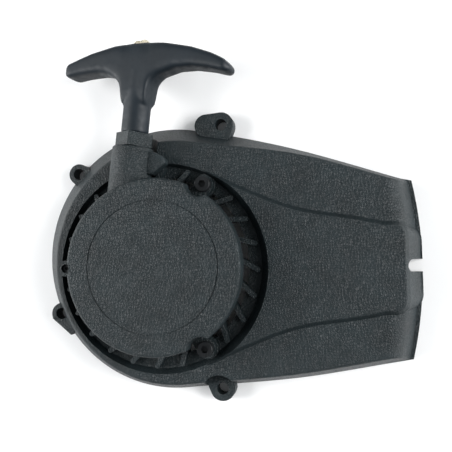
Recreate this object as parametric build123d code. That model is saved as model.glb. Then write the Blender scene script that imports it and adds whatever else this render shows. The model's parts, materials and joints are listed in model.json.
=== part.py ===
from build123d import *
from math import atan2, cos, degrees, radians, sin, sqrt
import os

# Pull starter with fan cowl for a small two-stroke engine.
# Frame: origin on the crank axis at the mounting plane, +Z outward, +X along
# the air duct, +Y towards the pull handle.  Millimetres.

# ---------------------------------------------------------------- cowl
WALL = 2.6                      # moulded wall
COWL_TOP = 18.0                 # outer face of the cowl's sides
PANEL_TOP = 20.5                # outer face of the raised middle panel
FOOT_CENTRE, FOOT_R = (1.6, 4.3), 62.0      # round end at the mounting plane
BROW_CENTRE, BROW_R = (5.4, 2.2), 55.2      # round end at the outer face
END_BEND_R = 8.0                # bend from the outer face to the duct's end wall
END_LIP = 2.4                   # height of the lip along the duct's end
RIM_ROUND, PANEL_ROUND = 1.2, 0.8           # rounding of the outer face and of the panel
DUCT_MID_Y = -2.5               # middle of the duct's mouth
PANEL_HALF_WIDTHS = [(22, 43.6), (46, 32.6), (64, 26.3), (85, 22.9), (99, 20.0)]
PANEL_STEP, PANEL_SLOPE = 2.5, 1.8

RING_FLOOR = 14.0               # floor of the round recess
RING_FLOOR_R, RING_RUN = 46.2, 0.38         # recess radius, outward run per mm up
RING_LEAN = (0.153, -0.129)     # how far the recess leans per mm up
RING_PLATE = 2.5                # thickness of the recess floor
VENT_R = 40.8                   # outer edge of the air openings
SEAT_R, SEAT_BORE = 36.0, 32.0  # inner ring that carries the recoil housing
VANE_COUNT, VANE_PHASE, VANE_SWEEP = 24, -2.5, -27.0
VANE_THICK, VANE_TOP, VANE_TIP_R = 2.3, 17.4, 45.9
BOSS_R, BOSS_FOOT = 5.2, 8.0    # screw bosses round the recess

LUG_HOLE_R, LUG_HEIGHT = 2.75, 7.5          # clearance for M5 bolts
LUG_BOSS_R, BOLT_PATH_R = 3.9, 3.1          # wall round each hole, way in for its bolt
LUGS = {                        # centre and outer radius of each mounting lug
    "upper_left": ((-42.8, 45.4), 4.9),
    "lower_left": ((-52.1, -21.6), 4.9),
    "upper_right": ((27.4, 65.8), 5.9),
    "lower_right": ((26.1, -56.3), 5.7),
}
LUG_WEB_AT, LUG_WEB_R = (20.3, 65.7), 5.4   # second rounding of the long upper right lug
SCALLOP_R = 7.8                 # tool clearance above the lower right lug
LUG_TAIL = [(-56.9, -23.8), (-47.4, -31.9), (-42.0, -26.0), (-52.5, -21.6)]
SLOT_W, SLOT_END_X, SLOT_Y, SLOT_PAD = 5.6, 109.2, -1.5, 4.0

# ---------------------------------------------------------------- recoil housing
CAP_R, CAP_TOP, CAP_FOOT, CAP_EDGE_R = 39.1, 32.0, 22.0, 1.4
BARREL_R, BARREL_BORE, CEILING = 35.4, 33.2, 29.6
SCREW_PCR, SMALL_PCR = 42.2, 42.8           # the fixing screws lie on these radii
SCREW_ANGLES, SMALL_SCREW_ANGLE = (60.0, -60.0), 180.0
EAR_R, EAR_FOOT, EAR_TOP = 4.4, 16.0, 19.0
SMALL_EAR_R, SMALL_EAR_TOP, SMALL_SEAT = 3.6, 24.3, 20.9
NOTCH_R, SMALL_NOTCH_R = 6.4, 5.0           # tool clearance in the cap's edge
POST_R, POST_FOOT = 6.0, 10.5
SPOUT_MOUTH_R, SPOUT_ROOT_R, SPOUT_FROM, SPOUT_MOUTH = 9.3, 9.7, 20.0, 52.9
SPOUT_EDGE_R = 1.2
TROUGH_R = 10.8                 # clearance in the cowl round the spout
GUSSET_FOOT, GUSSET_TOP = 19.5, 25.0        # shoulder beside the spout
GUSSET_EDGE_R = 1.2
GUIDE_R, GUIDE_FROM, GUIDE_FLANGE_R, GUIDE_FLANGE = 3.6, 34.5, 5.4, 1.0
GROOVE_R, GROOVE_W, GROOVE_DEPTH = 29.0, 0.5, 0.25      # fine ring in the cap's face

# ---------------------------------------------------------------- fasteners
M4_R, M4_HEAD_R, M4_HEAD_H, M4_KEY = 2.0, 3.5, 4.0, 3.0
M4_END, INSERT_R, INSERT_FOOT = 9.0, 2.8, 10.0
SMALL_R, SMALL_HEAD_R, SMALL_HEAD_H, SMALL_KEY, SMALL_END = 1.25, 1.75, 1.8, 1.5, 10.0
BOLT_R, BOLT_END, BOLT_HEAD_R, BOLT_HEAD_H, BOLT_KEY = 2.9, 26.0, 5.0, 4.0, 5.0
WASHER_R, WASHER_THICK = 8.8, 1.0

# ---------------------------------------------------------------- rope and handle
ROPE_R, ROPE_Z = 1.6, 21.0
ROPE_LEAVES_R = 17.2            # the run is tangent to the coil at this radius
ROPE_TILT = 6.7                 # degrees from +Y towards +X
ROPE_TAIL, ROPE_RUN_FROM = 11.4, 11.6       # the coil's tail ends where the run starts
ROPE_BORE_R, ROPE_CLEAR_R = 1.9, 2.0
COLLAR_W, COLLAR_FROM, COLLAR_TO, COLLAR_TURN = 12.6, 53.2, 59.3, 47.0
HANDLE_TWIST = 11.0             # the grip's turn about the run
STEM_R, STEM_STRAIGHT_TO = 6.3, 73.0
CREST, CREST_EDGE_R = 100.8, 2.2
WASHER_AT, KNOT_FROM, KNOT_TOP, POCKET_R = 92.4, 93.4, 102.9, 4.8
HANDLE_WASHER_R = 4.5

# ---------------------------------------------------------------- reel, pawls, springs
REEL_R, REEL_FOOT, REEL_TOP, REEL_FLANGE = 23.0, 16.0, 26.0, 1.7
REEL_CORE_R, REEL_BOSS_R, REEL_BOSS_TOP = 9.2, 8.4, 29.2
BUSH_R, RUN_FIT = 7.5, 0.05
COIL_FOOT, COIL_TOP, COIL_LAYERS = 17.75, 24.25, (10.8, 14.0, 17.2)
KNOT_AT = (12.5, 100.0)         # the rope's inner knot on the reel: radius, angle
SPRING_Z, SPRING_H, SPRING_THICK = 26.5, 2.6, 0.5
SPRING_INNER_R, SPRING_OUTER_R, SPRING_TURNS = 9.2, 26.0, 7
ANCHOR_R, ANCHOR_PCR, ANCHOR_TOP = 1.5, 27.8, 31.0
PAWL_ANGLES, PAWL_PIVOT_R, PAWL_PIN_R = (30.0, 210.0), 14.0, 1.5
PAWL_FOOT, PAWL_TOP, PAWL_REACH, PAWL_W, PAWL_HUB_R = 12.5, 15.5, 12.0, 4.4, 3.1
PAWL_REST, PAWL_SWING, PLATE_TURN = -80.0, 35.0, 25.0
PEG_R, PEG_D, PEG_CLEAR = 1.0, 4.0, 0.2
PIN_HEAD_R, PIN_HEAD = 2.6, 0.35
PLATE_FOOT, PLATE_TOP, PLATE_HUB_R, PLATE_R = 10.8, 12.0, 9.0, 19.6
BRAKE_R, BRAKE_WIRE, BRAKE_TURNS = 7.0, 0.3, 3
PAWL_SPRING_R, PAWL_WIRE = 2.4, 0.2

run_dir = Vector(sin(radians(ROPE_TILT)), cos(radians(ROPE_TILT)), 0)
side_dir = Vector(run_dir.Y, -run_dir.X, 0)             # to the right of the run
run_start = side_dir * -ROPE_LEAVES_R + Vector(0, 0, ROPE_Z)


def on_run(along, side=0.0, up=0.0):
    """A point given along the rope's run, to its right and above it."""
    return run_start + run_dir * along + side_dir * side + Vector(0, 0, up)


def run_plane(along):
    """A plane across the run: local x to the right, local y up... z outward."""
    return Plane(origin=on_run(along), x_dir=side_dir, z_dir=run_dir)


def polar(radius, angle):
    return (radius * cos(radians(angle)), radius * sin(radians(angle)))


def upright(radius, z0, z1, at=(0, 0)):
    """A vertical cylinder between two heights."""
    return Pos(at[0], at[1], z0) * Cylinder(
        radius, z1 - z0, align=(Align.CENTER, Align.CENTER, Align.MIN))


def cone(r0, r1, z0, z1):
    return Pos(0, 0, z0) * Cone(r0, r1, z1 - z0, align=(Align.CENTER, Align.CENTER, Align.MIN))


def rod(radius, start, end):
    """A cylinder from one point to another."""
    axis = end - start
    return Plane(origin=start, z_dir=axis.normalized()) * Cylinder(
        radius, axis.length, align=(Align.CENTER, Align.CENTER, Align.MIN))


def write(shape, node):
    export_step(shape, f"parts/{node}.step")


def outline(z, centre, radius, upper, lower, corners, bow):
    """A cowl outline: round end, two side curves and the bowed end of the duct."""
    (cx, cy) = centre
    top = (cx + polar(radius, 80)[0], cy + polar(radius, 80)[1])
    bottom = (cx + polar(radius, -84)[0], cy + polar(radius, -84)[1])
    round_end = ThreePointArc(top, (cx - radius, cy), bottom)
    low_side = Spline(bottom, lower, corners[1], tangents=[round_end % 1, (1, 0.17)])
    duct_end = ThreePointArc(corners[1], bow, corners[0])
    high_side = Spline(corners[0], upper, top, tangents=[(-1, 0.33), round_end % 0])
    return Pos(0, 0, z) * make_face([round_end, low_side, duct_end, high_side])


def cowl_block(inset, z0, z1):
    """The cowl's outer form, or with an inset its hollow."""
    foot = outline(z0, FOOT_CENTRE, FOOT_R - inset, (63.7 - inset / 3, 53.2 - inset),
                   (61.0 - inset / 3, -52.3 + inset),
                   [(112.6 - inset, 36.8 - inset), (111.0 - inset, -43.7 + inset)],
                   (116.0 - inset, DUCT_MID_Y))
    brow = outline(z1, BROW_CENTRE, BROW_R - inset, (64.6 - inset / 3, 48.4 - inset),
                   (62.1 - inset / 3, -47.6 + inset),
                   [(105.6 - inset, 35.4 - inset), (104.2 - inset, -40.2 + inset)],
                   (108.4 - inset, DUCT_MID_Y))
    return loft([foot, brow], ruled=True)


def quarter(start, end, centre, radius, angle):
    """A round corner from start to end about centre, bulging towards angle."""
    (dx, dy) = polar(radius, angle)
    return ThreePointArc(start, (centre[0] + dx, centre[1] + dy), end)


def panel_face(z, narrow, end_x, corner):
    """The raised middle panel's outline at one height."""
    def edge(side):
        return [(x, DUCT_MID_Y * x / 110 + side * (w - narrow)) for x, w in PANEL_HALF_WIDTHS]
    upper, lower = edge(1), edge(-1)
    turn_x, high, low = end_x - corner, upper[-1][1], lower[-1][1]
    lines = [
        Spline(*upper), Line(upper[-1], (turn_x, high)),
        quarter((turn_x, high), (end_x, high - corner), (turn_x, high - corner), corner, 45),
        Line((end_x, high - corner), (end_x, low + corner)),
        quarter((end_x, low + corner), (turn_x, low), (turn_x, low + corner), corner, -45),
        Line((turn_x, low), lower[-1]), Spline(*lower), Line(lower[0], upper[0])]
    return Pos(0, 0, z) * make_face(lines)


def panel_block(inset, z0, z1):
    """The middle panel from the mounting plane up, wider than the sides by a sloped step."""
    levels = [(z0, 0.0, 117.3, 8.0), (z1 - PANEL_STEP, 0.0, 109.7, 6.0), (z1, PANEL_SLOPE, 108.0, 4.5)]
    return loft([panel_face(z, narrow + inset, end_x - inset, corner - inset)
                 for z, narrow, end_x, corner in levels], ruled=True)


def bowl(extra, z0, z1):
    """The round recess's form between two heights; it leans as it opens."""
    def ring(z):
        rise = z - RING_FLOOR
        return Pos(RING_LEAN[0] * rise, RING_LEAN[1] * rise, z) * Circle(
            RING_FLOOR_R + extra + RING_RUN * rise)
    return loft([ring(z0), ring(z1)], ruled=True)


def vane(index):
    """One swept intake blade from the inner ring out over the recess floor."""
    angle = VANE_PHASE + index * 360 / VANE_COUNT
    (tip_x, tip_y) = polar(VANE_TIP_R - VANE_THICK / 2, angle)
    length, height = VANE_TIP_R - SEAT_BORE - 2, VANE_TOP - RING_FLOOR + RING_PLATE
    blade = Box(length, VANE_THICK, height, align=(Align.MIN, Align.CENTER, Align.MIN))
    blade += upright(VANE_THICK / 2, 0, height)
    return Pos(tip_x, tip_y, RING_FLOOR - RING_PLATE) * Rot(0, 0, angle + 180 + VANE_SWEEP) * blade


def vanes():
    """The ring of blades, without those that would stand in a screw boss."""
    bosses = (*SCREW_ANGLES, SMALL_SCREW_ANGLE)
    ring = [vane(i) for i in range(VANE_COUNT)
            if all(abs((VANE_PHASE + i * 360 / VANE_COUNT - b + 180) % 360 - 180) > 5
                   for b in bosses)]
    return Part() + ring - upright(BARREL_R + 0.2, RING_FLOOR, PANEL_TOP)


def lug(centre, radius):
    """A mounting lug, run inwards so that it joins the wall."""
    inward = degrees(atan2(FOOT_CENTRE[1] - centre[1], FOOT_CENTRE[0] - centre[0]))
    web = Box(2.2 * radius, 2 * radius, LUG_HEIGHT, align=(Align.MIN, Align.CENTER, Align.MIN))
    return upright(radius, 0, LUG_HEIGHT, centre) + Pos(*centre) * Rot(0, 0, inward) * web


def lugs():
    shape = Part() + [lug(*place) for place in LUGS.values()]
    (x0, y0), (x1, y1) = LUG_WEB_AT, LUGS["upper_right"][0]
    bridge = Polyline((x0, y0 + LUG_WEB_R), (x1, y1 + LUGS["upper_right"][1]),
                      (x1, y1 - LUG_WEB_R), (x0, y0 - 2 * LUG_WEB_R), close=True)
    shape += extrude(make_face(Polyline(*LUG_TAIL, close=True)), LUG_HEIGHT)
    return shape + upright(LUG_WEB_R, 0, LUG_HEIGHT, LUG_WEB_AT) + extrude(
        make_face(bridge), LUG_HEIGHT)


def end_lip():
    """The low lip that runs along the duct's end, outside the sloping wall."""
    high, low = (113.4, 36.7), (111.8, -43.2)
    bow = ThreePointArc(low, (117.0, DUCT_MID_Y), high)
    high_back, low_back = (100, high[1] + 3), (100, low[1] - 2)
    plate = make_face([bow, Line(high, high_back), Line(high_back, low_back), Line(low_back, low)])
    return extrude(plate, END_LIP)


def end_slot(width, end_x, z0, z1):
    """A slot open to the duct's end, with a rounded inner end."""
    shape = Pos(end_x + width / 2, SLOT_Y, z0) * Box(
        20, width, z1 - z0, align=(Align.MIN, Align.CENTER, Align.MIN))
    return shape + upright(width / 2, z0, z1, (end_x + width / 2, SLOT_Y))


def make_cowl():
    side_form = cowl_block(0, 0, COWL_TOP)
    end_edge = side_form.edges().group_by(Axis.Z)[-1].sort_by(Axis.X)[-1]
    side_form = fillet(end_edge, END_BEND_R)
    rim = [e for e in side_form.edges().group_by(Axis.Z)[-1] if e.center().X < 104]
    panel = panel_block(0, 0, PANEL_TOP)
    panel = fillet(panel.faces().sort_by(Axis.Z)[-1].edges(), PANEL_ROUND)
    form = fillet(rim, RIM_ROUND) + panel
    trough = rod(TROUGH_R, on_run(SPOUT_FROM), on_run(75))
    trough_wall = rod(TROUGH_R + WALL, on_run(30), on_run(75))
    scallop_at = LUGS["lower_right"][0]
    boss_at = [*[polar(SCREW_PCR, a) for a in SCREW_ANGLES], polar(SMALL_PCR, SMALL_SCREW_ANGLE)]

    hollow = cowl_block(WALL, -1, COWL_TOP - WALL) + panel_block(WALL, -1, PANEL_TOP - WALL)
    drum_foot = RING_FLOOR - RING_PLATE
    hollow -= bowl(WALL, drum_foot, PANEL_TOP)
    hollow -= upright(SCALLOP_R + WALL, 0, PANEL_TOP, scallop_at)
    hollow -= trough_wall
    hollow -= Pos(106, SLOT_Y, 0) * Box(20, 16, SLOT_PAD, align=(Align.MIN, Align.CENTER, Align.MIN))

    cowl = form + end_lip() + lugs() - hollow
    cowl += [upright(LUG_BOSS_R, 0, LUG_HEIGHT, at) for at, _ in LUGS.values()]
    cowl -= bowl(0, RING_FLOOR, PANEL_TOP + 2)
    cowl -= upright(VENT_R, -1, RING_FLOOR + 1)
    cowl += vanes()
    cowl += [upright(BOSS_R, BOSS_FOOT, EAR_FOOT, at) for at in boss_at]
    cowl -= [upright(INSERT_R, 0, PANEL_TOP, at) for at in boss_at[:2]]
    cowl -= upright(SMALL_R, 0, PANEL_TOP, boss_at[2])
    cowl -= trough
    cowl += upright(SEAT_R, drum_foot, RING_FLOOR) - upright(SEAT_BORE, 0, PANEL_TOP)
    cowl -= upright(SCALLOP_R, LUG_HEIGHT, PANEL_TOP, scallop_at)
    cowl -= [upright(LUG_HOLE_R, -1, LUG_HEIGHT + 1, at) for at, _ in LUGS.values()]
    cowl -= [upright(BOLT_PATH_R, LUG_HEIGHT, PANEL_TOP, at) for at, _ in LUGS.values()]
    cowl -= end_slot(SLOT_W, SLOT_END_X, -1, PANEL_TOP)
    write(cowl, "cowl")


def ear(angle, from_axis, radius, top):
    """A screw ear on the housing's barrel, joined to it by a web."""
    web = Pos(BARREL_R - 1, 0, EAR_FOOT) * Box(
        from_axis - BARREL_R + 1, 2 * radius - 0.4, top - EAR_FOOT,
        align=(Align.MIN, Align.CENTER, Align.MIN))
    return Rot(0, 0, angle) * web + upright(radius, EAR_FOOT, top, polar(from_axis, angle))


def along_run(start, end, r0, r1):
    """A round bar along the rope's run, tapering from r0 to r1."""
    return Plane(origin=on_run(start), z_dir=run_dir) * Cone(
        r0, r1, end - start, align=(Align.CENTER, Align.CENTER, Align.MIN))


def gusset():
    """The shoulder that fills the corner between spout and cap."""
    corners = [on_run(*place) for place in (
        (40.5, 5.0), (41.0, 11.1), (43.6, 13.9), (46.4, 16.7), (48.2, 16.4), (49.8, 14.6),
        (51.3, 10.5), (51.3, 5.0))]
    plan = Polyline(*[(p.X, p.Y) for p in corners], close=True)
    block = Pos(0, 0, GUSSET_FOOT) * extrude(make_face(plan), GUSSET_TOP - GUSSET_FOOT)
    return fillet(block.faces().sort_by(Axis.Z)[-1].edges(), GUSSET_EDGE_R)


def make_housing():
    cap = upright(CAP_R, CAP_FOOT, CAP_TOP)
    notch_at = [polar(SCREW_PCR, a) for a in SCREW_ANGLES]
    small_at = polar(SMALL_PCR, SMALL_SCREW_ANGLE)
    cap -= [upright(NOTCH_R, 0, CAP_TOP + 1, at) for at in notch_at]
    cap = fillet(cap.faces().sort_by(Axis.Z)[-1].edges(), CAP_EDGE_R)
    cap -= upright(SMALL_NOTCH_R, 0, CAP_TOP + 1, small_at)
    spout = along_run(SPOUT_FROM, SPOUT_MOUTH, SPOUT_ROOT_R, SPOUT_MOUTH_R)
    spout = fillet(spout.edges().sort_by(Axis.Y)[-1], SPOUT_EDGE_R)
    spout -= upright(SEAT_R + 0.3, 0, RING_FLOOR)
    spout -= upright(CAP_R - 3, CAP_TOP - 1, CAP_TOP + 3)
    housing = cap + upright(BARREL_R, RING_FLOOR, CAP_FOOT + 0.5) + spout + gusset()
    housing += [ear(a, SCREW_PCR, EAR_R, EAR_TOP) for a in SCREW_ANGLES]
    housing += ear(SMALL_SCREW_ANGLE, SMALL_PCR, SMALL_EAR_R, SMALL_EAR_TOP)
    housing -= upright(BARREL_BORE, 0, CEILING)
    housing -= [upright(M4_R + 0.2, 0, CAP_FOOT, at) for at in notch_at]
    housing -= upright(SMALL_R + 0.15, 0, CAP_TOP, small_at)
    housing -= upright(SMALL_HEAD_R + 0.15, SMALL_SEAT, CAP_TOP, small_at)
    housing += upright(POST_R, POST_FOOT, CEILING + 0.5)
    housing -= upright(BOLT_R, 0, BOLT_END)
    housing -= upright(ANCHOR_R, CEILING - 1, ANCHOR_TOP, (ANCHOR_PCR, 0))
    housing -= rod(GUIDE_R, on_run(GUIDE_FROM - 15), on_run(SPOUT_MOUTH + 1))
    housing -= rod(GUIDE_FLANGE_R, on_run(SPOUT_MOUTH - GUIDE_FLANGE), on_run(SPOUT_MOUTH + 1))
    ring = upright(GROOVE_R + GROOVE_W, CAP_TOP - GROOVE_DEPTH, CAP_TOP)
    housing -= ring - upright(GROOVE_R, 0, CAP_TOP)
    write(housing, "recoil_housing")


def make_rope_guide():
    guide = rod(GUIDE_R, on_run(GUIDE_FROM), on_run(SPOUT_MOUTH - GUIDE_FLANGE))
    guide += rod(GUIDE_FLANGE_R, on_run(SPOUT_MOUTH - GUIDE_FLANGE), on_run(SPOUT_MOUTH))
    guide -= rod(ROPE_BORE_R, on_run(GUIDE_FROM - 1), on_run(SPOUT_MOUTH + 1))
    guide -= along_run(SPOUT_MOUTH - 2, SPOUT_MOUTH, ROPE_BORE_R, ROPE_BORE_R + 1.4)
    guide -= along_run(GUIDE_FROM, GUIDE_FROM + 2, ROPE_BORE_R + 1.2, ROPE_BORE_R)
    write(guide, "rope_guide")


def hexagon(key, z0, z1, at=(0, 0)):
    """A hexagonal bar measured across its flats."""
    return Pos(at[0], at[1], z0) * extrude(RegularPolygon(key / 2, 6, major_radius=False), z1 - z0)


def cap_screw(shank_r, head_r, head_h, key, end, seat, at):
    """A socket head screw standing in a seat, head outward."""
    head = fillet(upright(head_r, seat, seat + head_h, at).edges().sort_by(Axis.Z)[-1], head_r / 10)
    head -= hexagon(key, seat + head_h / 2.5, seat + head_h + 1, at)
    return head + upright(shank_r, end, seat, at)


def make_fasteners():
    at = [polar(SCREW_PCR, a) for a in SCREW_ANGLES]
    write(Compound(children=[cap_screw(M4_R, M4_HEAD_R, M4_HEAD_H, M4_KEY, M4_END, EAR_TOP, p)
                             for p in at]), "housing_screws")
    write(Compound(children=[upright(INSERT_R, INSERT_FOOT, EAR_FOOT, p)
                             - upright(M4_R, 0, EAR_FOOT + 1, p) for p in at]), "screw_inserts")
    write(cap_screw(SMALL_R, SMALL_HEAD_R, SMALL_HEAD_H, SMALL_KEY, SMALL_END,
                    SMALL_SEAT, polar(SMALL_PCR, SMALL_SCREW_ANGLE)),
          "housing_screw_small")
    washer_foot = POST_FOOT - WASHER_THICK
    washer = upright(WASHER_R, washer_foot, POST_FOOT) - upright(BOLT_R + 0.2, 0, CEILING)
    write(washer, "centre_washer")
    head_foot = washer_foot - BOLT_HEAD_H
    bolt = upright(BOLT_HEAD_R, head_foot, washer_foot) + upright(BOLT_R, washer_foot, BOLT_END)
    bolt -= hexagon(BOLT_KEY, 0, head_foot + BOLT_HEAD_H / 2)
    write(chamfer(bolt.faces().sort_by(Axis.Z)[0].outer_wire().edges(), 0.4), "centre_bolt")


def make_reel():
    reel = upright(REEL_R, REEL_FOOT, REEL_FOOT + REEL_FLANGE)
    reel += upright(REEL_R, REEL_TOP - REEL_FLANGE, REEL_TOP)
    reel += upright(REEL_CORE_R, REEL_FOOT, REEL_TOP) + upright(REEL_BOSS_R, REEL_TOP, REEL_BOSS_TOP)
    reel -= upright(BUSH_R, 0, CAP_TOP)
    reel -= [upright(PAWL_PIN_R, 0, REEL_FOOT + REEL_FLANGE, polar(PAWL_PIVOT_R, a))
             for a in PAWL_ANGLES]
    reel -= upright(ROPE_R, 0, REEL_FOOT + REEL_FLANGE, polar(*KNOT_AT))
    hole_r, hole_pcr, holes = 3.4, 16.0, 6      # lightening holes in the outer flange
    reel -= [upright(hole_r, REEL_TOP - REEL_FLANGE - 1, REEL_TOP, polar(hole_pcr, i * 360 / holes))
             for i in range(holes)]
    write(reel, "reel")
    write(upright(BUSH_R, REEL_FOOT, REEL_BOSS_TOP) - upright(POST_R + RUN_FIT, 0, CAP_TOP),
          "reel_bush")


def make_rope():
    outer = COIL_LAYERS[-1]
    coil = upright(outer, COIL_FOOT, COIL_TOP)
    for z in (COIL_FOOT + ROPE_R, COIL_TOP - ROPE_R):
        coil += Pos(0, 0, z) * Torus(outer, ROPE_R)
    coil -= upright(REEL_CORE_R, 0, CAP_TOP)
    coil += rod(ROPE_R, on_run(0), on_run(ROPE_TAIL))
    write(coil, "rope_coil")
    write(rod(ROPE_R, on_run(ROPE_RUN_FROM), on_run(WASHER_AT + 1.0)), "rope_run")
    centre = polar(*KNOT_AT)
    knot_r = 2.1
    stub = upright(ROPE_R, REEL_FOOT - knot_r, REEL_FOOT + REEL_FLANGE, centre)
    write(stub + Pos(*centre, REEL_FOOT - knot_r) * Sphere(knot_r), "reel_end_knot")


def spiral(offset):
    """Points of the recoil spring's flat spiral, one side of the strip."""
    steps, growth = 24, (SPRING_OUTER_R - SPRING_INNER_R) / SPRING_TURNS / 360
    return [polar(SPRING_INNER_R + growth * a + offset, a)
            for a in (i * 360 / steps for i in range(SPRING_TURNS * steps + 1))]


def make_recoil_spring():
    inner, outer = spiral(0), spiral(SPRING_THICK)
    strip = make_face([Spline(*inner), Line(inner[-1], outer[-1]), Spline(*outer),
                       Line(outer[0], inner[0])])
    spring = Pos(0, 0, SPRING_Z) * extrude(strip, SPRING_H)
    top = SPRING_Z + SPRING_H
    hook = upright(ANCHOR_R + SPRING_THICK, SPRING_Z, top, (ANCHOR_PCR, 0))
    write(spring + hook - upright(ANCHOR_R, 0, CAP_TOP, (ANCHOR_PCR, 0)), "recoil_spring")
    write(upright(ANCHOR_R, SPRING_Z, ANCHOR_TOP, (ANCHOR_PCR, 0)), "spring_anchor_pin")


def peg_path():
    """Where a pawl's peg goes in the friction plate as the plate turns."""
    steps = 8
    for i in range(steps + 1):
        turn = PLATE_TURN * i / steps
        pawl = radians(PAWL_REST + PAWL_SWING * i / steps)
        x, y = PAWL_PIVOT_R + PEG_D * cos(pawl), PEG_D * sin(pawl)
        yield polar(sqrt(x * x + y * y), degrees(atan2(y, x)) - turn)


def plate_slot():
    """The curved slot that leads one peg."""
    radius, points = PEG_R + PEG_CLEAR, list(peg_path())
    slot = Part() + [upright(radius, PLATE_FOOT - 1, PLATE_TOP + 1, p) for p in points]
    for (x0, y0), (x1, y1) in zip(points, points[1:]):
        link = Box(sqrt((x1 - x0) ** 2 + (y1 - y0) ** 2), 2 * radius, PLATE_TOP - PLATE_FOOT + 2)
        middle = Pos((x0 + x1) / 2, (y0 + y1) / 2, (PLATE_FOOT + PLATE_TOP) / 2)
        slot += middle * Rot(0, 0, degrees(atan2(y1 - y0, x1 - x0))) * link
    return slot


def make_friction_plate():
    height = PLATE_TOP - PLATE_FOOT
    wedge_angles = (-52, -40, -25, -10, 2)
    wedge = Polyline((0, 0), *[polar(PLATE_R, a) for a in wedge_angles], close=True)
    arm = Pos(0, 0, PLATE_FOOT) * extrude(make_face(wedge), height) - plate_slot()
    plate = upright(PLATE_HUB_R, PLATE_FOOT, PLATE_TOP)
    plate += [Rot(0, 0, a) * arm for a in PAWL_ANGLES]
    write(plate - upright(POST_R + RUN_FIT, 0, CAP_TOP), "friction_plate")


def make_pawls():
    pivots = [polar(PAWL_PIVOT_R, a) for a in PAWL_ANGLES]
    height = PAWL_TOP - PAWL_FOOT
    arm = Box(PAWL_REACH, PAWL_W, height, align=(Align.MIN, Align.CENTER, Align.MIN))
    arm = chamfer(arm.edges().filter_by(Axis.Z).group_by(Axis.X)[-1].sort_by(Axis.Y)[0], 2.4)
    pawl = Pos(0, 0, PAWL_FOOT) * (arm + upright(PAWL_HUB_R, 0, height))
    pawl += upright(PEG_R, PLATE_FOOT + 0.1, PAWL_FOOT, (PEG_D, 0))
    pawl -= upright(PAWL_PIN_R + RUN_FIT, 0, CAP_TOP)
    coil = Torus(PAWL_SPRING_R, PAWL_WIRE) + rod(
        PAWL_WIRE, Vector(0, PAWL_SPRING_R, 0), Vector(PAWL_REACH - 3, PAWL_SPRING_R - 1.2, 0))
    pins, coils = [], []
    for number, (angle, at) in enumerate(zip(PAWL_ANGLES, pivots), start=1):
        write(Pos(*at) * Rot(0, 0, angle + PAWL_REST) * pawl, f"pawl_{number}")
        pins.append(upright(PAWL_PIN_R, PAWL_FOOT - PIN_HEAD, REEL_FOOT + REEL_FLANGE, at)
                    + upright(PIN_HEAD_R, PAWL_FOOT - PIN_HEAD - 0.05, PAWL_FOOT - 0.05, at))
        coils.append(Pos(*at, (PAWL_TOP + REEL_FOOT) / 2) * Rot(0, 0, angle + PAWL_REST) * coil)
    write(Compound(children=pins), "pawl_pins")
    write(Compound(children=coils), "pawl_springs")


def make_brake_spring():
    """The coil spring that presses the friction plate against its washer."""
    gap = 0.05
    low, high = PLATE_TOP + BRAKE_WIRE + gap, REEL_FOOT - BRAKE_WIRE - gap
    path = Helix((high - low) / BRAKE_TURNS, high - low, BRAKE_R)
    wire = sweep(Plane(origin=path @ 0, z_dir=path % 0) * Circle(BRAKE_WIRE), path=path,
                 is_frenet=True)
    write(Pos(0, 0, low) * wire, "brake_spring")


def handle_plane():
    """The grip's plane: x across the grip, y along the run from the coil's tangent point."""
    turn = radians(HANDLE_TWIST)
    across = side_dir * cos(turn) + Vector(0, 0, sin(turn))
    return Plane(origin=run_start, x_dir=across, z_dir=across.cross(run_dir))


def grip_outline():
    """The T-shaped grip seen square on, with its slightly longer right arm."""
    crest = Spline((-36.6, 90.6), (-24.0, 95.8), (0, CREST), (26.0, 98.2), (41.8, 92.6),
                   tangents=[(1, 0.55), (1, -0.62)])
    right_tip = ThreePointArc((41.8, 92.6), (45.2, 88.3), (42.2, 86.9))
    right_under = Spline((42.2, 86.9), (27.1, 89.2), (12.6, 87.1), (STEM_R, 79.2),
                         tangents=[(-1, 0.2), (0, -1)])
    left_under = Spline((-STEM_R, 77.0), (-10.4, 83.5), (-19.7, 86.3), (-35.4, 84.0),
                        tangents=[(0, 1), (-1, -0.24)])
    left_low = ThreePointArc((-35.4, 84.0), (-37.9, 84.9), (-38.8, 87.0))
    left_end = Line((-38.8, 87.0), (-38.6, 87.9))
    left_high = ThreePointArc((-38.6, 87.9), (-38.1, 89.5), (-36.6, 90.6))
    foot = COLLAR_TO
    stem = [Line((STEM_R, 79.2), (STEM_R, foot)), Line((STEM_R, foot), (-STEM_R, foot)),
            Line((-STEM_R, foot), (-STEM_R, 77.0))]
    return make_face([crest, right_tip, right_under, *stem, left_under, left_low, left_end, left_high])


def stem_envelope():
    """A body of revolution that rounds the grip's stem and opens out under its arms."""
    knee, mouth = (STEM_R, STEM_STRAIGHT_TO), (60.0, 84.0)
    flare = Spline(knee, (10.5, 80.0), (22.0, 83.0), mouth, tangents=[(0, 1), (1, 0.02)])
    profile = make_face([flare, Line(mouth, (60.0, 120.0)), Line((60.0, 120.0), (0, 120.0)),
                         Line((0, 120.0), (0, COLLAR_TO)), Line((0, COLLAR_TO), (STEM_R, COLLAR_TO)),
                         Line((STEM_R, COLLAR_TO), knee)])
    return revolve(profile, Axis.Y)


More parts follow.
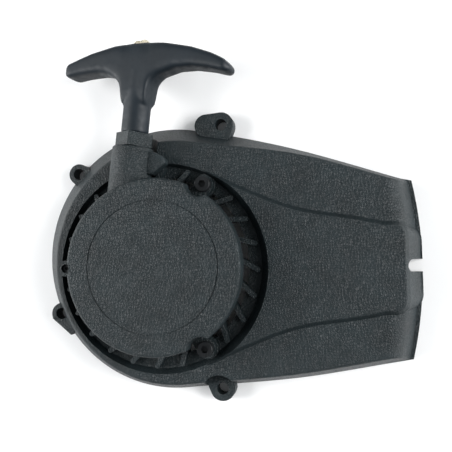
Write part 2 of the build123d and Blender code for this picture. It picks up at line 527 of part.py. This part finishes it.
def make_handle():
    grip = extrude(grip_outline(), STEM_R, both=True)
    ends = grip.faces().filter_by(Axis.Z)
    arms = [e for face in ends for e in face.edges() if e.center().Y > 80]
    grip = fillet(arms, CREST_EDGE_R) & stem_envelope()
    grip = handle_plane() * grip
    grip -= rod(ROPE_CLEAR_R, on_run(COLLAR_TO - 1), on_run(WASHER_AT + 1))
    grip -= rod(POCKET_R, on_run(WASHER_AT), on_run(CREST + 5))
    write(grip, "handle_grip")

    collar = extrude(Rectangle(COLLAR_W, COLLAR_W), COLLAR_TO - COLLAR_FROM)
    collar = chamfer(collar.edges().filter_by(Axis.Z), 0.6)
    collar = Plane(origin=on_run(COLLAR_FROM), x_dir=side_dir, z_dir=run_dir) * (
        Rot(0, 0, COLLAR_TURN) * collar)
    write(collar - rod(ROPE_CLEAR_R, on_run(COLLAR_FROM - 1), on_run(COLLAR_TO + 1)), "handle_collar")

    write(rod(HANDLE_WASHER_R, on_run(WASHER_AT), on_run(KNOT_FROM))
          - rod(ROPE_R, on_run(WASHER_AT - 1), on_run(KNOT_FROM + 1)), "handle_washer")
    loop_r, loops = 2.7, ((95.0, 0), (97.4, 24), (99.6, -24))
    knot = rod(ROPE_R, on_run(KNOT_FROM), on_run(KNOT_TOP - 2.6))
    for along, tilt in loops:
        knot += run_plane(along) * Rot(tilt, tilt / 2, 0) * Torus(loop_r, ROPE_R)
    knot += rod(ROPE_R, on_run(KNOT_TOP - 4, -0.6, 0.8), on_run(KNOT_TOP, 0.8, 0.4))
    write(knot, "rope_knot")


os.makedirs("parts", exist_ok=True)
make_cowl()
make_housing()
make_rope_guide()
make_fasteners()
make_reel()
make_rope()
make_recoil_spring()
make_friction_plate()
make_pawls()
make_brake_spring()
make_handle()
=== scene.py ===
import json
import math

import bmesh
import bpy
from mathutils import Matrix, Vector


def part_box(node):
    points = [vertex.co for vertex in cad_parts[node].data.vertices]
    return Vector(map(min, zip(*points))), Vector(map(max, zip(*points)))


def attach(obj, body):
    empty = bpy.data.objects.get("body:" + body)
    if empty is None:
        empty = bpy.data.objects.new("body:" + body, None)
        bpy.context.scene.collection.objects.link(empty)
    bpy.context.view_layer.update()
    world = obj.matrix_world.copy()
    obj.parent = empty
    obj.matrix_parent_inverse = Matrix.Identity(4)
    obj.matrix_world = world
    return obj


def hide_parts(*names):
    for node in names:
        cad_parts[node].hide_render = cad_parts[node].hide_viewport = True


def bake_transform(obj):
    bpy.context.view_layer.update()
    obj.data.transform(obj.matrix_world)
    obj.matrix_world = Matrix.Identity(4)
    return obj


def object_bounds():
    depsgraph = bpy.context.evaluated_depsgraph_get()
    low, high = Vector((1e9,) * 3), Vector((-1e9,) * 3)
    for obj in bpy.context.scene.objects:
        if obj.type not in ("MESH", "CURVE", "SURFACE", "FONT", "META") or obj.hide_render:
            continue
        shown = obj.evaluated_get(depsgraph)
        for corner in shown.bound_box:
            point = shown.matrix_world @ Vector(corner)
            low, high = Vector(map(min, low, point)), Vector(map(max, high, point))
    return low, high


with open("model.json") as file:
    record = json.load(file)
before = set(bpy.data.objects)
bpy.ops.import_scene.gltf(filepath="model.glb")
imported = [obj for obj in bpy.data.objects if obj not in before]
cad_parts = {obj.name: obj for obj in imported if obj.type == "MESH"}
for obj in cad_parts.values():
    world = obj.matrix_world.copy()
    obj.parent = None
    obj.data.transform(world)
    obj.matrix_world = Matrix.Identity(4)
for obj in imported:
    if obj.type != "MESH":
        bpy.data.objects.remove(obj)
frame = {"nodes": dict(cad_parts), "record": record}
cad_low, cad_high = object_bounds()
nodes = frame["nodes"]

# ------------------------------------------------------------------ camera
CAMERA_AT = Vector((0.07975, 0.00206, 0.30118))
CAMERA_LOOKS_AT = Vector((0.02775, 0.01867, 0.0))
CAMERA_ROLL = math.radians(-1.116)
SENSOR_MM, FOCAL_PX, FRAME_PX = 36.0, 643.3, 452


def make_camera():
    """The main view: almost straight down, from right of the duct's middle."""
    forward = (CAMERA_LOOKS_AT - CAMERA_AT).normalized()
    right = forward.cross(Vector((0, 1, 0))).normalized()
    up = right.cross(forward)
    c, s = math.cos(CAMERA_ROLL), math.sin(CAMERA_ROLL)
    right, up = right * c + up * s, up * c - right * s
    data = bpy.data.cameras.new("camera")
    data.sensor_width = SENSOR_MM
    data.lens = FOCAL_PX / FRAME_PX * SENSOR_MM
    data.clip_start, data.clip_end = 0.01, 20
    camera = bpy.data.objects.new("camera", data)
    turn = Matrix((right, up, -forward)).transposed().to_4x4()
    camera.matrix_world = Matrix.Translation(CAMERA_AT) @ turn
    bpy.context.scene.collection.objects.link(camera)
    bpy.context.scene.camera = camera


make_camera()


# ------------------------------------------------------------------ light and floor
def area_light(name, at, looks_at, width, height, watts):
    data = bpy.data.lights.new(name, "AREA")
    data.shape, data.size, data.size_y, data.energy = "RECTANGLE", width, height, watts
    light = bpy.data.objects.new(name, data)
    light.location = at
    light.rotation_euler = (Vector(looks_at) - Vector(at)).to_track_quat("-Z", "Y").to_euler()
    bpy.context.scene.collection.objects.link(light)


def make_studio():
    middle = (0.02, 0.01, 0.01)
    area_light("left_softbox", (-0.85, 0.05, 0.36), middle, 0.5, 1.0, 15)
    area_light("right_softbox", (0.85, 0.05, 0.36), middle, 0.5, 1.0, 15)
    world = bpy.data.worlds.new("studio")
    bpy.context.scene.world = world
    world.use_nodes = True
    background = world.node_tree.nodes["Background"]
    background.inputs["Color"].default_value = (0.93, 0.97, 1.0, 1)
    background.inputs["Strength"].default_value = 0.35
    bpy.context.scene.view_settings.view_transform = "Standard"


make_studio()


# ------------------------------------------------------------------ materials
class Nodes:
    """A small helper that adds shader nodes and joins them."""

    def __init__(self, name):
        self.material = bpy.data.materials.new(name)
        self.material.use_nodes = True
        self.tree = self.material.node_tree
        self.shader = self.tree.nodes["Principled BSDF"]
        self.place = self.add("ShaderNodeTexCoord").outputs["Object"]

    def add(self, kind, links=(), **settings):
        node = self.tree.nodes.new(kind)
        for key, value in settings.items():
            if key.startswith("in_"):
                node.inputs[key[3:].replace("_", " ")].default_value = value
            else:
                setattr(node, key, value)
        for socket, source in dict(links).items():
            self.tree.links.new(source, node.inputs[socket])
        return node

    def link(self, source, socket):
        self.tree.links.new(source, self.shader.inputs[socket])

    def noise(self, scale, detail=3.0, vector=None):
        node = self.add("ShaderNodeTexNoise", {"Vector": vector or self.place},
                        in_Scale=scale, in_Detail=detail, in_Roughness=0.55)
        return node.outputs["Fac"]

    def cells(self, scale, vector):
        """Distance to the nearest edge between cells."""
        node = self.add("ShaderNodeTexVoronoi", {"Vector": vector}, feature="DISTANCE_TO_EDGE",
                        in_Scale=scale)
        return node.outputs["Distance"]

    def ramp(self, source, stops):
        """Maps a value through stops, each a position with a grey value or a colour."""
        node = self.add("ShaderNodeValToRGB", {"Fac": source})
        ramp = node.color_ramp
        while len(ramp.elements) < len(stops):
            ramp.elements.new(0.5)
        for element, (position, value) in zip(ramp.elements, stops):
            element.position = position
            element.color = (*value, 1) if isinstance(value, tuple) else (value, value, value, 1)
        return node.outputs["Color"]

    def maths(self, operation, a, b):
        node = self.add("ShaderNodeMath", operation=operation)
        for socket, value in zip(node.inputs, (a, b)):
            if isinstance(value, (int, float)):
                socket.default_value = value
            else:
                self.tree.links.new(value, socket)
        return node.outputs[0]

    def bump(self, height, distance, strength=1.0, under=None):
        links = {"Height": height}
        if under:
            links["Normal"] = under
        node = self.add("ShaderNodeBump", links, in_Distance=distance, in_Strength=strength)
        return node.outputs["Normal"]

    def set(self, **values):
        for key, value in values.items():
            self.shader.inputs[key.replace("_", " ")].default_value = value


def grained_plastic(name, colour, roughness, cell, depth):
    """Moulded black plastic with a fine leather grain."""
    n = Nodes(name)
    warp = n.noise(1 / (cell * 3), detail=2)
    mixed = n.add("ShaderNodeVectorMath", {0: n.place, 1: n.add(
        "ShaderNodeVectorMath", {0: warp}, operation="SCALE", in_Scale=cell * 1.5).outputs[0]},
        operation="ADD").outputs[0]
    creases = n.ramp(n.cells(1 / cell, vector=mixed), [(0.0, 0.0), (0.22, 1.0)])
    fine = n.noise(4.5 / cell, detail=4)
    height = n.maths("ADD", n.maths("MULTIPLY", creases, 0.7), n.maths("MULTIPLY", fine, 0.5))
    n.link(n.bump(height, depth), "Normal")
    dark = tuple(c * 0.7 for c in colour)
    light = tuple(min(c * 1.25, 1) for c in colour)
    n.link(n.ramp(n.noise(90, detail=5), [(0.3, dark), (0.75, light)]), "Base Color")
    n.link(n.ramp(n.noise(1.3 / cell), [(0.3, roughness - 0.08), (0.7, roughness + 0.1)]), "Roughness")
    n.set(Specular_IOR_Level=0.34)
    return n.material


def satin_plastic(name, colour, roughness):
    """Smooth moulded plastic with very slight ripples and handling marks."""
    n = Nodes(name)
    ripple = n.bump(n.noise(160, detail=2), 0.00012, 0.5)
    n.link(n.bump(n.noise(1900, detail=3), 0.00003, 0.6, under=ripple), "Normal")
    n.link(n.ramp(n.noise(70, detail=4), [(0.3, tuple(c * 0.85 for c in colour)),
                                         (0.7, tuple(c * 1.15 for c in colour))]), "Base Color")
    n.link(n.ramp(n.noise(400, detail=5), [(0.35, roughness - 0.05), (0.7, roughness + 0.12)]),
           "Roughness")
    n.set(Specular_IOR_Level=0.3)
    return n.material


def worn_metal(name, colour, roughness, metallic=1.0):
    """Machined metal with fine scratches and slight staining."""
    n = Nodes(name)
    stretched = n.add("ShaderNodeMapping", {"Vector": n.place}, in_Scale=(1, 0.08, 1)).outputs[0]
    scratches = n.noise(2400, detail=3, vector=stretched)
    n.link(n.bump(scratches, 0.00002, 0.7), "Normal")
    n.link(n.ramp(n.noise(350, detail=5), [(0.3, tuple(c * 0.7 for c in colour)), (0.65, colour)]),
           "Base Color")
    n.link(n.ramp(scratches, [(0.3, roughness - 0.1), (0.7, roughness + 0.12)]), "Roughness")
    n.set(Metallic=metallic)
    return n.material


def braided_rope(name):
    """Cream braid with dark flecks."""
    n = Nodes(name)
    strands = n.add("ShaderNodeTexWave", {"Vector": n.place}, bands_direction="DIAGONAL",
                    in_Scale=700, in_Distortion=1.5).outputs["Fac"]
    n.link(n.bump(strands, 0.0003), "Normal")
    flecks = n.ramp(n.noise(900, detail=2), [(0.60, (0.70, 0.64, 0.50)), (0.64, (0.04, 0.04, 0.035))])
    n.link(flecks, "Base Color")
    n.set(Roughness=0.85)
    return n.material


def studio_floor():
    n = Nodes("floor")
    n.link(n.ramp(n.noise(40), [(0.3, 0.93), (0.7, 0.95)]), "Base Color")
    n.link(n.bump(n.noise(700), 0.00005, 0.2), "Normal")
    n.set(Roughness=0.7, Specular_IOR_Level=0.2)
    return n.material


MATERIALS = {
    "cowl_plastic": grained_plastic("cowl_grain", (0.0095, 0.0160, 0.0185), 0.48, 0.0011, 0.00022),
    "grip_plastic": satin_plastic("grip_satin", (0.0075, 0.0125, 0.0175), 0.52),
    "black_steel": worn_metal("black_oxide", (0.020, 0.022, 0.024), 0.36, metallic=0.55),
    "steel": worn_metal("plated_steel", (0.62, 0.62, 0.60), 0.30),
    "pawl_steel": worn_metal("hard_steel", (0.42, 0.42, 0.43), 0.38),
    "spring_steel": worn_metal("blued_steel", (0.22, 0.24, 0.29), 0.28),
    "brass": worn_metal("brass", (0.78, 0.58, 0.27), 0.32),
    "bush_bronze": worn_metal("bronze", (0.55, 0.36, 0.18), 0.45),
    "reel_nylon": satin_plastic("nylon", (0.62, 0.61, 0.55), 0.45),
    "rope": braided_rope("rope_braid"),
}


def dress_nodes():
    """Gives every carried-over node its own slot's finished material."""
    slots = {s["node"]: s["material_slot"] for s in frame["record"]["subparts"]}
    for name, node in nodes.items():
        node.data.materials.clear()
        node.data.materials.append(MATERIALS[slots[name]])


dress_nodes()


# ------------------------------------------------------------------ rope
ROPE_R, ROPE_LAY = 0.0016, 0.007        # lay: one turn of the braid
BRAID_STRANDS, BRAID_SIDES, BRAID_DEPTH = 8, 24, 0.14
RUN = Vector(next(j["axis"] for j in frame["record"]["behaviour"]["joints"]
                  if j["name"] == "handle_pull")).normalized()
run_low, run_high = (Vector(corner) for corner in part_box("rope_run"))
RUN_MIDDLE, RUN_MIDDLE_AT = (run_low + run_high) / 2, 0.0525
RUN_FROM, RUN_TO = 0.0116, 0.0934       # the run's two ends, from the coil's tangent point
RIGHT = Vector((RUN.y, -RUN.x, 0))


def on_run(along, side=0.0, up=0.0):
    """A point given along the rope's straight run, to its right and above it."""
    return RUN_MIDDLE + RUN * (along - RUN_MIDDLE_AT) + RIGHT * side + Vector((0, 0, up))


def braid(points, pitch, closed=False):
    """Vertices and faces of a braided tube; pitch is the length of one turn at each point."""
    count, sides = len(points), BRAID_SIDES
    vertices, faces, travelled = [], [], 0.0
    normal = Vector((0.13, 0.21, 1.0))
    for i, point in enumerate(points):
        ahead = points[(i + 1) % count] if closed else points[min(i + 1, count - 1)]
        behind = points[i - 1] if closed or i else points[0]
        along = (ahead - behind).normalized()
        normal = (normal - along * normal.dot(along)).normalized()
        across = along.cross(normal)
        travelled += (point - points[i - 1]).length / pitch(i) if i else 0.0
        for k in range(sides):
            turn = 2 * math.pi * k / sides
            left = abs(math.sin(BRAID_STRANDS * (turn / 2 + math.pi * travelled)))
            right = abs(math.sin(BRAID_STRANDS * (turn / 2 - math.pi * travelled)))
            r = ROPE_R * (1 - BRAID_DEPTH * (1 - max(left, right)))
            vertices.append(point + (normal * math.cos(turn) + across * math.sin(turn)) * r)
    for i in range(count if closed else count - 1):
        for k in range(sides):
            a, b = i * sides + k, i * sides + (k + 1) % sides
            c, d = (a + sides) % (count * sides), (b + sides) % (count * sides)
            faces.append((a, b, d, c))
    if not closed:
        faces.append(tuple(reversed(range(sides))))
        faces.append(tuple(range((count - 1) * sides, count * sides)))
    return vertices, faces


def rope_piece(name, parts, body, *replaced):
    """One object made of braided tubes, in the rope's material."""
    vertices, faces = [], []
    for some_vertices, some_faces in parts:
        base = len(vertices)
        vertices += some_vertices
        faces += [tuple(base + v for v in face) for face in some_faces]
    mesh = bpy.data.meshes.new(name)
    mesh.from_pydata(vertices, [], faces)
    mesh.polygons.foreach_set("use_smooth", [True] * len(faces))
    mesh.materials.append(MATERIALS["rope"])
    piece = bpy.data.objects.new(name, mesh)
    bpy.context.scene.collection.objects.link(piece)
    if body:
        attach(piece, body)
    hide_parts(*replaced)
    return piece


def make_rope_run():
    """The rope from the reel to the washer; the stretch inside the spout has close-set rings and a
    braid squeezed short for the pull.
    """
    start, end, pull = 0.022, 0.0505, 0.5
    paid_out_ring, plain_ring = 0.000045, 0.0004
    squeeze = 1 + pull / (end - start)
    stations, along = [], RUN_FROM
    while along < RUN_TO:
        stations.append(along)
        along += paid_out_ring if start < along < end else plain_ring
    stations.append(RUN_TO)
    tube = braid([on_run(t) for t in stations],
                 lambda i: ROPE_LAY / squeeze if start < stations[i] < end else ROPE_LAY)
    rope = rope_piece("paid_out_rope", [tube], None, "rope_run")
    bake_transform(rope)


def make_rope_knot():
    """A tight overhand knot over the washer, with a short frayed end."""
    knot, steps, height, size = [], 150, 0.0992, 0.00104
    for i in range(steps):
        u = 2 * math.pi * i / steps
        side, up = math.sin(u) + 2 * math.sin(2 * u), math.cos(u) - 2 * math.cos(2 * u)
        knot.append(on_run(height - ROPE_R * math.sin(3 * u), side * size, up * size))
    tail = [on_run(0.0930 + 0.0003 * i, 0.0006 * math.sin(i / 6), 0.0004 * math.cos(i / 5))
            for i in range(31)]
    tubes = [braid(knot, lambda i: ROPE_LAY, closed=True), braid(tail, lambda i: ROPE_LAY)]
    rope_piece("knotted_end", tubes, "handle_body", "rope_knot")


make_rope_run()
make_rope_knot()


# ------------------------------------------------------------------ grip
# The grip's outline in millimetres: across the grip, and along the run from the coil.
CREST = [(-38.8, 87.5), (-38.3, 89.0), (-36.6, 90.6), (-30.0, 93.4), (-24.0, 95.8), (-12.0, 99.2),
         (0.0, 100.8), (13.0, 100.3), (26.0, 98.2), (36.0, 95.2), (41.8, 92.6), (44.6, 90.1),
         (45.2, 88.4)]
UNDER = [(-38.8, 87.0), (-37.9, 84.9), (-35.4, 84.0), (-29.0, 85.3), (-19.7, 86.3), (-15.7, 85.9),
         (-12.1, 84.6), (-9.6, 82.7), (-8.0, 80.4), (-7.0, 77.0), (-6.3, 72.0), (6.3, 72.0),
         (6.6, 78.4), (7.1, 81.2), (8.5, 83.6), (11.1, 85.9), (18.7, 88.6), (27.1, 89.2),
         (35.4, 88.3), (42.2, 86.9), (44.6, 87.3), (45.2, 88.2)]
STEM_ROUND = [(59.0, 6.3), (66.0, 6.3), (72.0, 7.2), (77.0, 9.6), (80.0, 13.0), (83.0, 60.0)]
LEFT_TIP, RIGHT_TIP = CREST[0][0], CREST[-1][0]
TIP_LENGTH, TIP_BEND, TIP_THINNING = 3.5, 2.2, 0.6      # how the arms get thinner at their tips
SQUARENESS = 0.42               # 1 is an ellipse, and nearer 0 is a squarer section
GRIP_TWIST, STEM_R, GRIP_DEPTH, STEM_FOOT = math.radians(11), 6.3, 6.2, 59.3
STEM_LEVELS, POCKET_LEVELS = (STEM_FOOT, 66.0, 73.0, 80.0, 88.0), (92.4, 98.0, 106.0)
POCKET_R = 0.0048
ARM_STEPS, ARM_SIDES, ROUND_SIDES = 168, 96, 48
ACROSS = RIGHT * math.cos(GRIP_TWIST) + Vector((0, 0, math.sin(GRIP_TWIST)))
OUTWARD = ACROSS.cross(RUN)


def between(table, x):
    """A value read off a table of (x, value) pairs, straight between them."""
    for (x0, y0), (x1, y1) in zip(table, table[1:]):
        if x <= x1:
            return y0 + (y1 - y0) * (x - x0) / (x1 - x0)
    return table[-1][1]


def grip_place(across, along, outward):
    return on_run(0) + (ACROSS * across + RUN * along + OUTWARD * outward) / 1000


def lofted(name, sections):
    """A closed mesh through rings of points."""
    sides, faces = len(sections[0]), []
    for i in range(len(sections) - 1):
        for k in range(sides):
            a, b = i * sides + k, i * sides + (k + 1) % sides
            faces.append((a, a + sides, b + sides, b))
    faces.append(tuple(range(sides)))
    faces.append(tuple(reversed(range((len(sections) - 1) * sides, len(sections) * sides))))
    mesh = bpy.data.meshes.new(name)
    mesh.from_pydata([p for section in sections for p in section], [], faces)
    return mesh


def arm_section(x):
    """The arms' rounded section at one place across the grip."""
    top, low = between(CREST, x), between(UNDER, x)
    middle, half = (top + low) / 2, max((top - low) / 2, 0.2)
    to_tip = min(x - LEFT_TIP, RIGHT_TIP - x)
    thinning = max(0.0, 1 - to_tip / TIP_LENGTH) ** TIP_BEND * TIP_THINNING
    depth = GRIP_DEPTH * (1 - thinning)
    points = []
    for k in range(ARM_SIDES):
        turn = 2 * math.pi * (k + 0.5) / ARM_SIDES
        c, s = math.cos(turn), math.sin(turn)
        along = middle + half * math.copysign(abs(c) ** SQUARENESS, c)
        outward = depth * math.copysign(abs(s) ** SQUARENESS, s)
        limit = max(between(STEM_ROUND, along) ** 2 - x * x, 0.01) ** 0.5
        outward = max(min(outward, limit), -limit)
        points.append(grip_place(x, along, outward))
    return points


def make_grip():
    """The T-shaped grip: soft-edged arms run into a round stem, with the knot's pocket."""
    span = RIGHT_TIP - LEFT_TIP
    arms = lofted("arms", [arm_section(LEFT_TIP + span * i / ARM_STEPS) for i in range(ARM_STEPS + 1)])
    turns = [2 * math.pi * k / ROUND_SIDES for k in range(ROUND_SIDES)]
    stem = lofted("stem", [[grip_place(STEM_R * math.cos(-a), along, STEM_R * math.sin(-a))
                            for a in turns] for along in STEM_LEVELS])
    pocket = lofted("pocket", [[on_run(along / 1000, POCKET_R * math.cos(a), POCKET_R * math.sin(a))
                                for a in turns] for along in POCKET_LEVELS])
    shape = bmesh.new()
    shape.from_mesh(arms)
    shape.from_mesh(stem)
    mesh = bpy.data.meshes.new("grip")
    shape.to_mesh(mesh)
    shape.free()
    grip = bpy.data.objects.new("moulded_grip", mesh)
    cutter = bpy.data.objects.new("pocket", pocket)
    for one in (grip, cutter):
        bpy.context.scene.collection.objects.link(one)
    join = grip.modifiers.new("join", "REMESH")
    join.mode, join.voxel_size = "VOXEL", 0.0005
    soften = grip.modifiers.new("soften", "SMOOTH")
    soften.factor, soften.iterations = 0.5, 16
    cut = grip.modifiers.new("cut", "BOOLEAN")
    cut.operation, cut.object, cut.solver = "DIFFERENCE", cutter, "EXACT"
    depsgraph = bpy.context.evaluated_depsgraph_get()
    finished = bpy.data.meshes.new_from_object(grip.evaluated_get(depsgraph))
    grip.modifiers.clear()
    grip.data = finished
    bpy.data.objects.remove(cutter)
    finished.polygons.foreach_set("use_smooth", [True] * len(finished.polygons))
    finished.materials.clear()
    finished.materials.append(MATERIALS["grip_plastic"])
    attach(grip, "handle_body")
    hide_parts("handle_grip")


make_grip()


def make_floor():
    size = 3.0
    mesh = bpy.data.meshes.new("floor")
    mesh.from_pydata([(-size, -size, 0), (size, -size, 0), (size, size, 0), (-size, size, 0)], [],
                     [(0, 1, 2, 3)])
    floor = bpy.data.objects.new("floor", mesh)
    floor.location.z = cad_low[2] - 0.0002
    mesh.materials.append(studio_floor())
    bpy.context.scene.collection.objects.link(floor)


make_floor()
